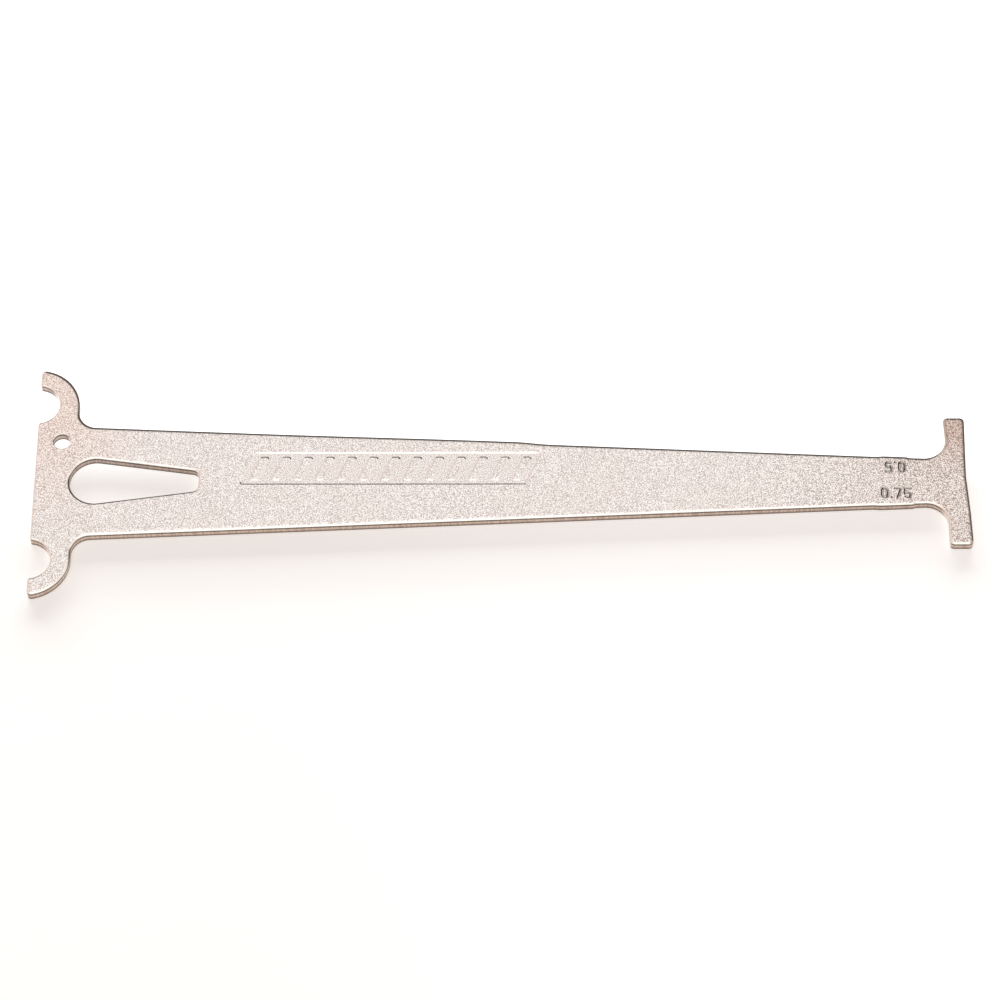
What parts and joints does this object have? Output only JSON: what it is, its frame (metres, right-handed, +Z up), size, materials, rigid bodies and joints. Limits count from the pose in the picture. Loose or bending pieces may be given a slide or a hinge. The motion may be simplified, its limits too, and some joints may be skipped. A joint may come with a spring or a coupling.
{
  "type": "chain wear gauge",
  "caption": "Flat sheet-steel gauge for bicycle chain wear: two roller notches at the head, a tapered blade with a hanging hole, and a crossbar with two measuring tips.",
  "frame": {"origin": "middle of the lower face's bounding box: halfway along the gauge, on its centre line, on the surface it lies on", "axes": "+X from the hooked head to the crossbar, +Y towards the side that tells 0.5 percent, which also has the hanging hole, +Z up out of the stamped face"},
  "size_m": [0.1622, 0.0456, 0.0018],
  "materials": {
    "plated_steel": "satin nickel plate with a fine blasted grain"
  },
  "bodies": {
    "root": {"gauge_plate": "plated_steel"}
  },
  "joints": []
}
